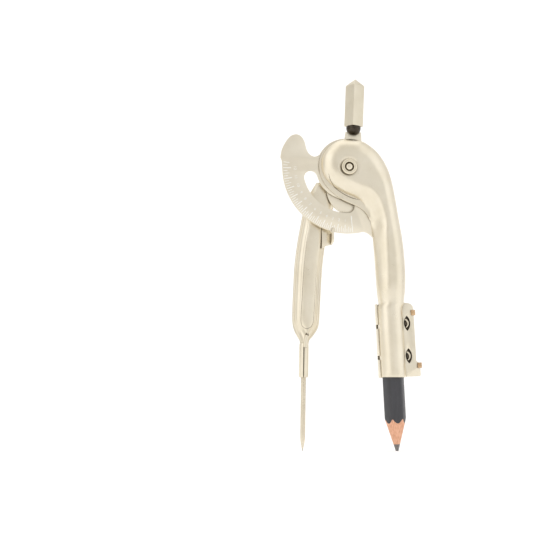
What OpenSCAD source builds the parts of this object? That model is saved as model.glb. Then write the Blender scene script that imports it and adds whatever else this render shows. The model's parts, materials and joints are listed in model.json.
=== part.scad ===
// Drawing compass of pressed, nickel-plated sheet steel.
// X runs from the needle leg to the pencil leg, Y runs from front to back, Z is up.
// Both points stand on Z = 0, and the legs turn about an axis along Y that is pivot_h above it.

/* [Overall] */
// Height of the leg pivot above the points
pivot_h = 103.6; // [90:0.1:125]
// Thickness of the pressed sheet of both legs
sheet = 0.7; // [0.5:0.05:0.9]
// Number of facets round a full circle
round_fn = 64; // [32:8:128]

/* [Arc scale] */
// Thickness of the arc scale plate
arc_t = 0.8; // [0.5:0.1:1.2]
// Radius of the round hub of the plate
hub_r = 11.4; // [11:0.1:12.5]
// Inner radius of the graduated ring
ring_in_r = 16.5; // [15.5:0.1:18]
// Outer radius of the graduated ring
ring_out_r = 24.1; // [22.5:0.1:24.4]
// Angle of the travel stop, measured from straight down towards the needle
stop_angle = 98.6; // [80:0.1:104]
// Radius at the corner of the travel stop
stop_r = 25.1; // [24.9:0.1:26]

/* [Pencil leg] */
// Depth of the pressed dome and channel in front of the arc scale
dome_h = 4.6; // [4:0.1:6]
// Width over which the rounded wall of the shell rises
wall_run = 3.4; // [2:0.1:4]

/* [Pencil holder] */
// Diameter of the hexagonal pencil across its corners
pencil_d = 8.16; // [7:0.02:8.6]
// Lean of the pencil from vertical
pencil_lean = 2.6; // [1:0.1:4]
// Distance from the leg pivot down to the lower end of the sleeve
sleeve_low = 76.9; // [70:0.1:84]
// Length of the sleeve
sleeve_len = 30; // [24:0.5:36]
// Wall of the sleeve
sleeve_t = 0.6; // [0.4:0.05:0.8]
// Width of the flange beside the sleeve
flange_w = 4.2; // [3.6:0.1:5.5]

/* [Pencil] */
// Length of the pencil that stands in the holder
pencil_len = 64; // [50:1:75]
// Height of the sharpened cone, lead included
cone_h = 12; // [9:0.5:16]
// Diameter of the lead
lead_d = 2.4; // [1.8:0.1:3]

/* [Needle leg] */
// Depth of the channel of the needle leg
channel_h = 4; // [3:0.1:5]
// Radius of the round head of the needle leg
head_r = 10.6; // [9.5:0.1:10.9]
// Outer diameter of the rolled needle socket
socket_d = 3.5; // [3:0.1:4]
// Length of the rolled needle socket
socket_len = 13; // [10:0.5:16]
// Diameter of the needle
needle_d = 1.8; // [1.5:0.05:2]
// Length of the ground point of the needle
needle_tip = 5.4; // [4:0.2:8]

/* [Pivot] */
// Outer diameter of the tube of the pivot eyelet
eyelet_d = 4.2; // [3.6:0.1:4.6]
// Outer diameter of the rolled rim of the eyelet
rim_d = 5.8; // [5.4:0.1:6.6]
// Diameter of the bore through the eyelet
eyelet_bore = 3.3; // [2.6:0.1:3.3]
// Diameter of one bearing ball
ball_d = 1.56; // [1.4:0.02:1.7]
// Number of bearing balls
balls = 10; // [6:1:12]
// Radius of the circle on which the balls run
ball_circle_r = 6.6; // [6:0.1:7]

/* [Handle] */
// Side of the square knob
knob_side = 5; // [4.4:0.1:5.6]
// Height of the straight part of the knob
knob_h = 15.5; // [12:0.5:22]
// Height of the pyramid on the knob
knob_tip = 2.7; // [2:0.1:4]
// Turn of the knob about its own axis at rest
knob_turn = 29; // [0:1:89]
// Lean of the knob's axis to the pencil side
knob_lean = 2.6; // [0:0.1:4]
// Diameter of the ball under the knob
stud_ball_d = 5.4; // [4.6:0.1:5.6]
// Thickness of the handle bracket
bracket_t = 0.8; // [0.6:0.05:0.9]
// Width of the bracket's stem
stem_w = 5.9; // [5:0.1:7]

/* [Fits] */
// Radial clearance of the running fits on the pivot and the knob stud
run_gap = 0.05; // [0.02:0.01:0.1]
// Gap between flat faces that slide past each other
face_gap = 0.05; // [0.02:0.01:0.1]
// Radial clearance of a bearing ball in its cage hole
cage_gap = 0.04; // [0.02:0.01:0.08]
// Radial clearance of the pencil in its sleeve
pencil_gap = 0.06; // [0.04:0.01:0.15]

/* [Hidden] */

eps = 0.01;
nickel = [0.88, 0.85, 0.77];
satin_nickel = [0.86, 0.83, 0.74];
spring_steel = [0.72, 0.70, 0.66];
dark_steel = [0.17, 0.15, 0.13];
pencil_grey = [0.32, 0.32, 0.34];
bare_wood = [0.92, 0.69, 0.57];
graphite = [0.45, 0.42, 0.40];

// Depth stack of the head, front to back
arc_front = -arc_t / 2;
arc_back = arc_t / 2;
dome_front = arc_front - dome_h;
race_gap = ball_d + 2 * face_gap;
leg_front = arc_back + race_gap;
leg_back = leg_front + sheet;
bracket_mid = arc_back + race_gap / 2;
washer_t = 0.5;
washer_back = leg_back + face_gap + washer_t;
cone_rise = 0.7;
clinch_front = washer_back + cone_rise;
rim_t = 0.8;

// Pencil axis: its depth, and its distance from the pivot level with the sleeve's lower end
pencil_y = 0.2;
pencil_x_low = 16.95;
sleeve_in_r = pencil_d / 2 + pencil_gap;
sleeve_out_r = sleeve_in_r + sleeve_t;
back_out_r = sleeve_out_r + sleeve_t;

// Heights of the two clinch tabs above the sleeve's lower end, and the flange's step beside the lower one
clinch_places = [3, 22.4];
tab_bulge = 1.4;
flange_edge = sleeve_out_r + flange_w;

// Needle axis
needle_x = -15.75;
needle_y = leg_front + 0.5;
needle_lean = 1;
socket_top = 64;
needle_out = (pivot_h - socket_top) / cos(needle_lean) - socket_len;

// The object's box is centred over the origin, so the pivot stands a little to one side
clinch_t = 0.5;
left_reach = stop_r * sin(stop_angle);
right_reach = pencil_x_low + (flange_edge + tab_bulge + clinch_t) * cos(pencil_lean)
    - clinch_places[0] * sin(pencil_lean);
pivot_x = (left_reach - right_reach) / 2;
pivot_y = -(dome_front - rim_t + leg_front + channel_h) / 2;

// Smooth open curve through stations, each a list of values
function clip(i, n) = max(0, min(n - 1, i));
function blend(a, b, c, d, t) =
    0.5 * ((2 * b) + (c - a) * t + (2 * a - 5 * b + 4 * c - d) * t * t
    + (3 * b - a - 3 * c + d) * t * t * t);
function smooth_open(p, steps) =
    let (n = len(p))
    concat([
        for (i = [0 : n - 2], s = [0 : steps - 1])
            blend(p[clip(i - 1, n)], p[i], p[i + 1], p[clip(i + 2, n)], s / steps)
    ], [p[n - 1]]);

// Pressed sheet as one closed skin: an outer and an inner line of points at every station
function quad_split(q) = [[q[0], q[1], q[2]], [q[0], q[2], q[3]]];
module channel_solid(outer_lines, inner_lines) {
    n = len(outer_lines);
    m = len(outer_lines[0]);
    outer = [for (line = outer_lines, p = line) p];
    inner = [for (line = inner_lines, p = line) p];
    half = n * m;
    last = (n - 1) * m;
    face = [for (i = [0 : n - 2], k = [0 : m - 2])
        [i * m + k, i * m + k + 1, (i + 1) * m + k + 1, (i + 1) * m + k]];
    back = [for (q = face) [half + q[3], half + q[2], half + q[1], half + q[0]]];
    rim_a = [for (i = [0 : n - 2]) [i * m, (i + 1) * m, half + (i + 1) * m, half + i * m]];
    rim_b = [for (i = [1 : n - 1])
        [half + i * m - 1, half + (i + 1) * m - 1, (i + 1) * m - 1, i * m - 1]];
    end_a = [for (k = [0 : m - 2]) [k + 1, k, half + k, half + k + 1]];
    end_b = [for (k = [last : last + m - 2]) [k, k + 1, half + k + 1, half + k]];
    polyhedron(
        concat(outer, inner),
        [for (q = concat(face, back, rim_a, rim_b, end_a, end_b)) each quad_split(q)],
        convexity = 8
    );
}

// Stations down the pencil leg: z, inner edge, outer edge, share of the dome's depth, flange at the inner edge
leg_stations = [
    [11.3, 0.4, 4.0, 0.22, 0.1], [10.9, -1.6, 5.9, 0.5, 0.15], [10, -4.3, 8.2, 0.72, 0.2],
    [8.7, -6.3, 10.3, 0.9, 0.3], [6.6, -8.3, 12.6, 0.99, 0.5], [4, -9.5, 14.3, 1, 0.9],
    [1, -10.1, 15.4, 1, 1.6], [-2, -10, 16.2, 1, 2.2], [-5, -8.9, 16.9, 1, 2.5],
    [-7.6, -6.9, 17.5, 1, 2.9], [-9.6, -4.7, 17.9, 1, 3.6], [-11.2, -2.6, 18.2, 1, 4.6],
    [-12.4, -0.4, 18.5, 1, 4.8], [-13.4, 2.2, 18.7, 1, 3.8], [-14.6, 5, 18.9, 1, 2.4],
    [-16.4, 7.1, 19.2, 1, 1.4], [-18.7, 8.4, 19.6, 1, 0.7], [-21.5, 9.1, 20.1, 1, 0.2],
    [-25, 9.5, 20.7, 1, 0.1], [-32, 10.1, 21.5, 1, 0.1], [-39.6, 10.6, 21.8, 1, 0.1],
    [-44.5, 10.9, 21.6, 1, 0.1], [-47.3, 11.2, 21.3, 0.9, 0.1],
];
// The pressed wall rises as a quarter of an ellipse
wall_steps = 5;
function leg_side(s, thick, flange) =
    let (
        run = min(wall_run, (s[2] - s[1] - flange) / 2.6) - thick / 2,
        base = thick > 0 ? 0.1 : sheet,
        deep = max(dome_h * s[3], sheet + 0.3) - thick
    )
    concat(
        thick > 0
            ? [[flange + thick, 0], [flange + thick, base / 2]]
            : [[0, 0], [0, base]],
        [for (k = [0 : wall_steps])
            let (a = 90 * k / wall_steps)
            [flange + thick + run * (1 - cos(a)), base + (deep - base) * sin(a)]]
    );
function leg_line(s, thick) =
    let (a = leg_side(s, thick, s[4]), b = leg_side(s, thick, 0.1), n = len(b))
    concat(
        [for (q = a) [s[1] + q[0], arc_front - q[1], s[0]]],
        [for (i = [n - 1 : -1 : 0]) [s[2] - b[i][0], arc_front - b[i][1], s[0]]]
    );
module leg_shell() {
    stations = smooth_open(leg_stations, 2);
    channel_solid([for (s = stations) leg_line(s, 0)], [for (s = stations) leg_line(s, sheet)]);
}

module up_to_pivot() {
    translate([pivot_x, pivot_y, pivot_h])
        children();
}

// Frame on the pencil axis: origin level with the sleeve's lower end
module pencil_frame() {
    up_to_pivot()
        translate([pencil_x_low, pencil_y, -sleeve_low])
        rotate([0, -pencil_lean, 0])
        children();
}

// Frame on the needle axis: origin at the top of the socket
module needle_frame() {
    up_to_pivot()
        translate([needle_x, needle_y, -socket_top])
        rotate([0, needle_lean, 0])
        children();
}

// Frame on the handle axis: origin under the stud ball
handle_x = 2.9;
handle_z = 13;
module handle_frame() {
    up_to_pivot()
        translate([handle_x, bracket_mid, handle_z])
        rotate([0, knob_lean, 0])
        children();
}

// A flat plate in the XZ plane between two depths
module plate(y_low, y_high) {
    translate([0, y_high, 0])
        rotate([90, 0, 0])
        linear_extrude(y_high - y_low)
        children();
}

// A cylinder along Y between two depths
module pin_y(r, y_low, y_high) {
    plate(y_low, y_high)
        circle(r = r, $fn = round_fn);
}

// A pie slice from angle a to b, measured from straight down, positive to the pencil side
module slice(r, a, b, step = 6) {
    n = ceil((b - a) / step);
    polygon(concat([[0, 0]], [for (i = [0 : n])
        let (t = a + (b - a) * i / n)
        [r * sin(t), -r * cos(t)]]));
}

// Round tube standing along Z between two heights
module tube(r_in, r_out, low, high) {
    translate([0, 0, low])
        difference() {
            cylinder(r = r_out, h = high - low, $fn = round_fn);
            translate([0, 0, -1])
                cylinder(r = r_in, h = high - low + 2, $fn = round_fn);
        }
}

// Lens-shaped opening in the flange, standing along Z
lens_w = 2.4;
lens_h = 5.6;
lens_r = (lens_w * lens_w + lens_h * lens_h) / (4 * lens_w);
lens_x = sleeve_out_r + 1.5;
lens_places = [7.6, 19.6];
module lens() {
    intersection_for (side = [-1, 1])
        translate([side * (lens_r - lens_w / 2), 0])
            circle(r = lens_r, $fn = round_fn);
}

flange_front = -0.55;
flange_back = flange_front + sleeve_t;
spring_t = 0.3;
shelf_front = flange_back + spring_t;
shelf_back = shelf_front + sleeve_t;
tab_len = 5.6;
module flange_outline() {
    top = sleeve_len - 2.6;
    polygon([
        [sleeve_in_r + 0.2, 0], [flange_edge + tab_bulge, 0], [flange_edge + tab_bulge, tab_len - 1.4],
        [flange_edge, tab_len], [flange_edge, top - 2.6], [flange_edge - 1, top - 0.6],
        [sleeve_in_r + 0.2, top],
    ]);
}

module sleeve_front() {
    difference() {
        union() {
            difference() {
                tube(sleeve_in_r, sleeve_out_r, 0, sleeve_len);
                translate([-back_out_r - 1, 0.4, -1])
                    cube([2 * back_out_r + 2, back_out_r + 2, sleeve_len + 2]);
                translate([0, flange_back, -1])
                    cube([back_out_r + 2, back_out_r + 2, sleeve_len + 2]);
            }
            difference() {
                plate(flange_front, flange_back)
                    flange_outline();
                translate([0, 0, -1])
                    cylinder(r = sleeve_in_r, h = sleeve_len + 2, $fn = round_fn);
            }
        }
        for (z = lens_places)
            translate([lens_x, 0, z])
                plate(flange_front - 1, flange_back + 1)
                lens();
    }
}

module pencil_leg() {
    color(nickel) {
        difference() {
            up_to_pivot()
                leg_shell();
            up_to_pivot()
                pin_y(eyelet_d / 2 + run_gap, dome_front - 1, arc_front + 1);
            pencil_frame()
                translate([0, 0, sleeve_len / 2])
                cylinder(r = sleeve_in_r, h = pencil_len, $fn = round_fn);
        }
        pencil_frame()
            sleeve_front();
    }
}

// Upper end of the arc plate, past the neck, with the corner that stops the leg
lobe_top = [
    [-22.9, 9.3], [-21.2, 11.6], [-18.9, 12.5], [-17, 11.7], [-15.8, 9.7], [-15.1, 7],
    [-14, 5.2], [-12.2, 4.3], [-10.2, 5.1],
];
function stop_corner() = [-stop_r * sin(stop_angle), -stop_r * cos(stop_angle)];
slot_mid_r = (hub_r + ring_in_r) / 2;
slot_half = (ring_in_r - hub_r) / 2;
slot_from = -75;
slot_to = 1.5;
// Foot of the plate under the pencil leg
leg_foot = [
    [1.7, -ring_out_r + 0.5], [8, -24.2], [9.6, -25.6], [17.5, -26.5],
    [15, -8], [10, -8], [2, -12.5],
];
module arc_plate() {
    plate(arc_front, arc_back)
        children();
}
module arc_scale() {
    color(satin_nickel)
        up_to_pivot()
        difference() {
            union() {
                arc_plate()
                    circle(r = hub_r, $fn = round_fn);
                arc_plate()
                    intersection() {
                        circle(r = ring_out_r, $fn = 2 * round_fn);
                        slice(2 * ring_out_r, -92, 18);
                    }
                arc_plate()
                    polygon(concat([[0, -2], [-ring_out_r, -0.6], stop_corner()], lobe_top, [[0, 2]]));
                arc_plate()
                    polygon(leg_foot);
            }
            plate(arc_front - 1, arc_back + 1)
                difference() {
                    intersection() {
                        circle(r = ring_in_r, $fn = round_fn);
                        slice(2 * ring_in_r, slot_from, slot_to);
                    }
                    circle(r = hub_r, $fn = round_fn);
                }
            for (a = [slot_from, slot_to])
                translate([slot_mid_r * sin(a), 0, -slot_mid_r * cos(a)])
                    pin_y(slot_half, arc_front - 1, arc_back + 1);
            pin_y(eyelet_d / 2 + run_gap, arc_front - 1, arc_back + 1);
        }
}

// Rear half of the sleeve with two clinch tabs over the flange and three hooks on the left
clinch_h = 2;
hook_places = [[0, 6.6], [8, 10], [19.4, 7.6]];
module clinch_tab(z, edge) {
    translate([edge, flange_front - clinch_t, z])
        cube([clinch_t, shelf_back - flange_front + clinch_t, clinch_h]);
    translate([edge - 1, flange_front - clinch_t, z])
        cube([1 + clinch_t, clinch_t, clinch_h]);
}
module sleeve_back() {
    color(nickel)
        pencil_frame() {
            difference() {
                tube(sleeve_out_r, back_out_r, 0, sleeve_len - 3);
                translate([0, shelf_front - 10, -1])
                    cube([back_out_r + 2, 10, sleeve_len + 2]);
                translate([-back_out_r - 1, -back_out_r - 1, -1])
                    cube([back_out_r + 2, back_out_r + 1.6, sleeve_len + 2]);
            }
            for (h = hook_places)
                difference() {
                    tube(sleeve_out_r, back_out_r, h[0], h[0] + h[1]);
                    translate([-back_out_r - 1, 0.7, h[0] - 1])
                        cube([2 * back_out_r + 2, back_out_r + 2, h[1] + 2]);
                    translate([-back_out_r - 1, -back_out_r - 2, h[0] - 1])
                        cube([2 * back_out_r + 2, back_out_r + 1, h[1] + 2]);
                    translate([0, -back_out_r - 1, h[0] - 1])
                        cube([back_out_r + 2, 2 * back_out_r + 2, h[1] + 2]);
                }
            difference() {
                plate(shelf_front, shelf_back)
                    flange_outline();
                translate([0, 0, -1])
                    cylinder(r = sleeve_out_r, h = sleeve_len + 2, $fn = round_fn);
            }
            clinch_tab(clinch_places[0], flange_edge + tab_bulge);
            clinch_tab(clinch_places[1], flange_edge);
        }
}

// Spring between the flanges, with two rounded prongs that show through the lens openings
module grip_spring() {
    inner = sleeve_in_r + 0.1;
    color(spring_steel)
        pencil_frame() {
            difference() {
                plate(flange_back, shelf_front)
                    polygon([
                        [inner, 2], [flange_edge - 0.3, 2],
                        [flange_edge - 0.3, sleeve_len - 7], [inner, sleeve_len - 7],
                    ]);
                translate([0, 0, -1])
                    cylinder(r = sleeve_in_r + 0.04, h = sleeve_len + 2, $fn = round_fn);
            }
            for (z = lens_places)
                translate([lens_x - 0.15, flange_back + eps, z])
                    rotate([90, 0, 0])
                    cylinder(r = 0.8, h = sleeve_t + 0.2, $fn = round_fn);
        }
}

// Tubular rivet with a rolled rim in front and a clinched rim behind
module pivot_eyelet() {
    rim_front = dome_front - rim_t;
    rim_back = clinch_front + rim_t;
    color(nickel)
        up_to_pivot()
        difference() {
            union() {
                pin_y(eyelet_d / 2, rim_front + 0.3, rim_back - 0.3);
                for (y = [dome_front - rim_t / 2, clinch_front + rim_t / 2])
                    translate([0, y, 0])
                        rotate([90, 0, 0])
                        rotate_extrude($fn = round_fn)
                        translate([rim_d / 2 - rim_t / 2, 0])
                        circle(r = rim_t / 2, $fn = 24);
                pin_y(rim_d / 2 - rim_t / 2, rim_front + 0.15, dome_front);
                pin_y(rim_d / 2 - rim_t / 2, clinch_front, rim_back - 0.15);
            }
            pin_y(eyelet_bore / 2, rim_front - 1, rim_back + 1);
        }
}

// Solid pin pressed into the eyelet, with a domed end in front
pin_dome_r = 1.3;
module pivot_pin() {
    color(nickel)
        up_to_pivot() {
            pin_y(eyelet_bore / 2, dome_front + 0.6, clinch_front + 0.3);
            translate([0, dome_front - rim_t + pin_dome_r, 0])
                sphere(r = pin_dome_r, $fn = 48);
        }
}

// Coil spring round the eyelet inside the dome
coil_wire = 0.6;
coil_mean_r = 3.6;
coil_turns = 3;
seat_t = 0.4;
module bearing_spring() {
    y_from = dome_front + sheet + coil_wire / 2 + eps;
    y_to = arc_front - seat_t - coil_wire / 2 - eps;
    steps = 18 * coil_turns;
    sides = 6;
    points = [
        for (s = [0 : steps], k = [0 : sides - 1])
            let (a = 360 * coil_turns * s / steps, b = 360 * k / sides,
                r = coil_mean_r + coil_wire / 2 * cos(b))
            [r * cos(a), y_from + (y_to - y_from) * s / steps + coil_wire / 2 * sin(b), r * sin(a)]
    ];
    skin = [
        for (s = [0 : steps - 1], k = [0 : sides - 1])
            let (a = s * sides + k, b = s * sides + (k + 1) % sides)
            each [[a, a + sides, b + sides], [a, b + sides, b]]
    ];
    ends = [
        [for (k = [0 : sides - 1]) k],
        [for (k = [sides - 1 : -1 : 0]) steps * sides + k],
    ];
    color(spring_steel)
        up_to_pivot()
        polyhedron(points, concat(skin, ends), convexity = 10);
}

module washer(r_out, y_low, y_high) {
    up_to_pivot()
        difference() {
            pin_y(r_out, y_low, y_high);
            pin_y(eyelet_d / 2 + run_gap, y_low - 1, y_high + 1);
        }
}
module spring_seat() {
    color(spring_steel)
        washer(5.2, arc_front - seat_t, arc_front);
}

// Plate between the scale and the needle leg: ball cage below, handle stem above
cage_r = 9.6;
tail_r = 10;
tail_at = [2.6, -7.3];
stem_top = 14.2;
tang_w = 2.4;
tang_t = 0.4;
module tang() {
    translate([-tang_w / 2, -tang_t / 2, -2])
        cube([tang_w, tang_t, 3]);
}
module handle_bracket() {
    y_low = bracket_mid - bracket_t / 2;
    y_high = bracket_mid + bracket_t / 2;
    color(satin_nickel)
        difference() {
            up_to_pivot() {
                pin_y(cage_r, y_low, y_high);
                translate([tail_at[0], 0, tail_at[1]])
                    pin_y(tail_r, y_low, y_high);
                plate(y_low, y_high)
                    polygon([
                        [handle_x - 4.6, 4], [handle_x - 4.6, 8], [handle_x - stem_w / 2 - 0.4, 11],
                        [handle_x - stem_w / 2, stem_top], [handle_x + stem_w / 2, stem_top],
                        [handle_x + stem_w / 2 + 0.1, 11], [handle_x + 4.6, 7.6], [handle_x + 4.6, 4],
                    ]);
            }
            up_to_pivot() {
                pin_y(eyelet_d / 2 + run_gap, y_low - 1, y_high + 1);
                for (i = [0 : balls - 1])
                    rotate([0, -360 * i / balls, 0])
                        translate([ball_circle_r, 0, 0])
                        pin_y(ball_d / 2 + cage_gap, y_low - 1, y_high + 1);
            }
            handle_frame() {
                translate([0, 0, stud_ball_d / 2])
                    sphere(r = stud_ball_d / 2, $fn = round_fn);
                tang();
            }
        }
}

module bearing_balls() {
    color(spring_steel)
        up_to_pivot()
        for (i = [0 : balls - 1])
            rotate([0, -360 * i / balls, 0])
                translate([ball_circle_r, bracket_mid, 0])
                sphere(r = ball_d / 2, $fn = 32);
}

// Dark stud: a tang let into the stem, the ball, and a grooved shank for the knob
stud_r = 1.4;
stud_h = 15;
groove_z = 12;
groove_depth = 0.3;
ring_t = 0.6;
ring_w = 0.7;
knob_low = 3.4;
module knob_stud() {
    color(dark_steel)
        handle_frame() {
            tang();
            difference() {
                translate([0, 0, stud_ball_d / 2])
                    sphere(r = stud_ball_d / 2, $fn = round_fn);
                translate([0, 0, knob_low - face_gap + stud_ball_d / 2])
                    cube(stud_ball_d, center = true);
            }
            difference() {
                translate([0, 0, 2])
                    cylinder(r = stud_r, h = stud_h - 2, $fn = round_fn);
                translate([0, 0, groove_z])
                    tube(stud_r - groove_depth, stud_r + 1, 0, ring_t);
            }
        }
}
module knob_ring() {
    color(spring_steel)
        handle_frame()
        tube(stud_r - groove_depth, stud_r - groove_depth + ring_w, groove_z, groove_z + ring_t);
}

// Square knob with a low pyramid, bored for the stud and grooved for its ring
module handle_knob() {
    half = knob_side / 2;
    top = knob_low + knob_h;
    color(nickel)
        handle_frame()
        difference() {
            rotate([0, 0, knob_turn])
                union() {
                    translate([-half, -half, knob_low])
                        cube([knob_side, knob_side, knob_h]);
                    polyhedron(
                        [
                            [-half, -half, top], [half, -half, top], [half, half, top],
                            [-half, half, top], [0, 0, top + knob_tip],
                        ],
                        [[0, 1, 2, 3], [0, 4, 1], [1, 4, 2], [2, 4, 3], [3, 4, 0]]
                    );
                }
            translate([0, 0, knob_low - 1])
                cylinder(r = stud_r + run_gap, h = stud_h - knob_low + 1.5, $fn = round_fn);
            translate([0, 0, groove_z - face_gap])
                cylinder(
                    r = stud_r - groove_depth + ring_w + run_gap,
                    h = ring_t + 2 * face_gap,
                    $fn = round_fn
                );
        }
}

// Stations down the needle leg: z, outer edge, inner edge, depth of the channel as a share, width of the flank
needle_stations = [
    [-5, -10.8, -3, 0.25, 0.5], [-10, -13.7, -3.4, 0.6, 1.2], [-16, -15.5, -4.8, 0.9, 2],
    [-22, -16.7, -6.6, 1, 2.1], [-28, -17.8, -7.3, 1, 2.1], [-36, -18.8, -8.3, 1, 2.1],
    [-45, -19.3, -8.9, 1, 2.1], [-52, -19.6, -9.3, 1, 2.1], [-57.5, -19.5, -9.7, 1, 2.1],
    [-60.5, -18.5, -11, 0.8, 1.6], [-64.2, -17.3, -13.9, 0.45, 0.9],
];
// Half-section: quarter-ellipse flank from the rear rim to the flat face, then mirrored
flank_steps = 5;
function channel_line(s, thick) =
    let (
        deep = max(sheet + 0.05, channel_h * s[3]) - thick,
        run = max(0.2, s[4] - thick / 2),
        left = s[1] + thick,
        right = s[2] - thick,
        side = [for (k = [0 : flank_steps])
            let (a = 90 * k / flank_steps) [run * (1 - cos(a)), deep * (1 - sin(a))]]
    )
    concat(
        [for (q = side) [left + q[0], leg_front + thick + q[1], s[0]]],
        [for (i = [flank_steps : -1 : 0]) [right - side[i][0], leg_front + thick + side[i][1], s[0]]]
    );
module needle_shell() {
    stations = smooth_open(needle_stations, 2);
    channel_solid([for (s = stations) channel_line(s, 0)], [for (s = stations) channel_line(s, sheet)]);
    plate(leg_front, leg_back) {
        circle(r = head_r, $fn = round_fn);
        polygon([[-9.6, 4], [-10.8, -5], [-12, -9], [-3.2, -11], [9, -5]]);
    }
}

// Ear on the inner edge with a lip that hooks over the edge of the arc scale
lip_t = 0.75;
lip_gap = 0.5;
lip_x = -5.4;
lip_overlap = 1.2;
module pointer_lug() {
    lip_r = ring_out_r + lip_gap;
    edge_z = -sqrt(lip_r * lip_r - lip_x * lip_x);
    ear_low = -28.2;
    front = arc_front - 0.3;
    plate(leg_front, leg_back)
        polygon([
            [-9, edge_z + 3], [lip_x + lip_t / 2, edge_z + 0.5],
            [lip_x + lip_t / 2, ear_low], [-9, ear_low - 0.6],
        ]);
    translate([lip_x - lip_t / 2, 0, 0])
        rotate([90, 0, 90])
        linear_extrude(lip_t)
        polygon([
            [leg_back, edge_z - 0.02], [front, edge_z - 0.02], [front, edge_z + lip_overlap + lip_gap],
            [front - sheet, edge_z + lip_overlap + lip_gap], [front - sheet, edge_z - 3],
            [leg_front, ear_low], [leg_back, ear_low],
        ]);
}

shank_r = needle_d / 2 + 0.3;
shank_hold = socket_len - 1;
point_r = 0.08;
seam_w = 0.3;
module needle_leg() {
    color(nickel)
        difference() {
            union() {
                up_to_pivot()
                    needle_shell();
                up_to_pivot()
                    pointer_lug();
                needle_frame()
                    translate([0, 0, -socket_len])
                    cylinder(r = socket_d / 2, h = socket_len + 2.5, $fn = round_fn);
            }
            up_to_pivot()
                pin_y(eyelet_d / 2 + run_gap, leg_front - 1, leg_back + 1);
            needle_frame() {
                translate([0, 0, -socket_len - 1])
                    cylinder(r = shank_r, h = shank_hold + 1, $fn = round_fn);
                rotate([0, 0, -135])
                    translate([shank_r - eps, -seam_w / 2, -socket_len - 1])
                    cube([socket_d, seam_w, shank_hold]);
            }
        }
}

// Needle with a ground point below and a thicker shank in the socket
module needle() {
    color(spring_steel)
        needle_frame()
        translate([0, 0, -socket_len - needle_out]) {
            translate([0, 0, needle_tip])
                cylinder(r = needle_d / 2, h = needle_out - needle_tip, $fn = round_fn);
            cylinder(r1 = point_r, r2 = needle_d / 2, h = needle_tip, $fn = round_fn);
            translate([0, 0, needle_out])
                cylinder(r = shank_r, h = shank_hold, $fn = round_fn);
        }
}

module thrust_washer() {
    color(spring_steel)
        washer(5.6, leg_back + face_gap, washer_back);
}

// Dished spring washer under the clinched rim
module tension_washer() {
    dish_t = 0.3;
    r_in = eyelet_d / 2 + run_gap;
    r_out = 5;
    color(spring_steel)
        up_to_pivot()
        translate([0, washer_back, 0])
        rotate([-90, 0, 0])
        rotate_extrude($fn = round_fn)
        polygon([
            [r_in, cone_rise - dish_t], [r_out, 0], [r_out, dish_t], [r_in, cone_rise],
        ]);
}

// Hexagonal pencil, one flat to the front, sharpened to a cone through its layer of paint
pencil_low = -(pivot_h - sleeve_low) / cos(pencil_lean);
paint_t = 0.15;
tip_r = 0.5;
cone_r = pencil_d / 2 * 0.97;
lead_h = cone_h * (lead_d / 2 - tip_r) / (cone_r - tip_r);
module hexagon(r, low, high) {
    translate([0, 0, low])
        intersection() {
            cylinder(r = r, h = high - low, $fn = 6);
            cylinder(r = r * 0.97, h = high - low, $fn = round_fn);
        }
}
module sharpened(length) {
    intersection() {
        children();
        union() {
            cylinder(r1 = tip_r, r2 = cone_r, h = cone_h, $fn = round_fn);
            translate([0, 0, cone_h])
                cylinder(r = pencil_d, h = length - cone_h, $fn = round_fn);
        }
    }
}
module pencil_place() {
    pencil_frame()
        translate([0, 0, pencil_low])
        children();
}
module pencil_barrel() {
    color(pencil_grey)
        pencil_place()
        difference() {
            sharpened(pencil_len)
                hexagon(pencil_d / 2, cone_h / 2, pencil_len);
            hexagon(pencil_d / 2 - paint_t / cos(30), 0, pencil_len + 1);
        }
}
module pencil_wood() {
    color(bare_wood)
        pencil_place()
        difference() {
            sharpened(pencil_len)
                hexagon(pencil_d / 2 - paint_t / cos(30), 0, pencil_len);
            translate([0, 0, -1])
                cylinder(r = lead_d / 2, h = pencil_len + 2, $fn = round_fn);
        }
}
module pencil_lead() {
    color(graphite)
        pencil_place()
        rotate_extrude($fn = round_fn)
        polygon([
            [0, 0], [tip_r, 0], [lead_d / 2, lead_h], [lead_d / 2, pencil_len], [0, pencil_len],
        ]);
}

pencil_leg();
arc_scale();
sleeve_back();
grip_spring();
pivot_eyelet();
pivot_pin();
bearing_spring();
spring_seat();
handle_bracket();
bearing_balls();
knob_stud();
knob_ring();
handle_knob();
needle_leg();
needle();
thrust_washer();
tension_washer();
pencil_barrel();
pencil_wood();
pencil_lead();
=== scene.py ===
import json
import math

import bmesh
import bpy
from mathutils import Matrix, Vector
from mathutils.bvhtree import BVHTree


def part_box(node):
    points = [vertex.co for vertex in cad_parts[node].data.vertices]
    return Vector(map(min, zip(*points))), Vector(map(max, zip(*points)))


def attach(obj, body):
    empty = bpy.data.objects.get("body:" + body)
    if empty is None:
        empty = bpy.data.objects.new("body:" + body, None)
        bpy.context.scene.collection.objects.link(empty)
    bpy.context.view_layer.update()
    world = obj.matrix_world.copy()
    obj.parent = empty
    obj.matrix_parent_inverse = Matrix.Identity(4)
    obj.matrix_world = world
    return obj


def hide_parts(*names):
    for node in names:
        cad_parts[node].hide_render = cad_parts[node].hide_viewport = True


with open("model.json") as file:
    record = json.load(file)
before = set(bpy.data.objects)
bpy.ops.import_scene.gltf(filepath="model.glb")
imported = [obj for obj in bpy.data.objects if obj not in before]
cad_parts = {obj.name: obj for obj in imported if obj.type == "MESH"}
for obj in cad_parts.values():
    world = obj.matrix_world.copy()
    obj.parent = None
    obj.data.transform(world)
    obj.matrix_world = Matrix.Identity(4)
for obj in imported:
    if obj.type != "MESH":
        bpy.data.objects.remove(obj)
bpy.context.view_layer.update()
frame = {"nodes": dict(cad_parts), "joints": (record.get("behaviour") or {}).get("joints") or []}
nodes = frame["nodes"]
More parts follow.
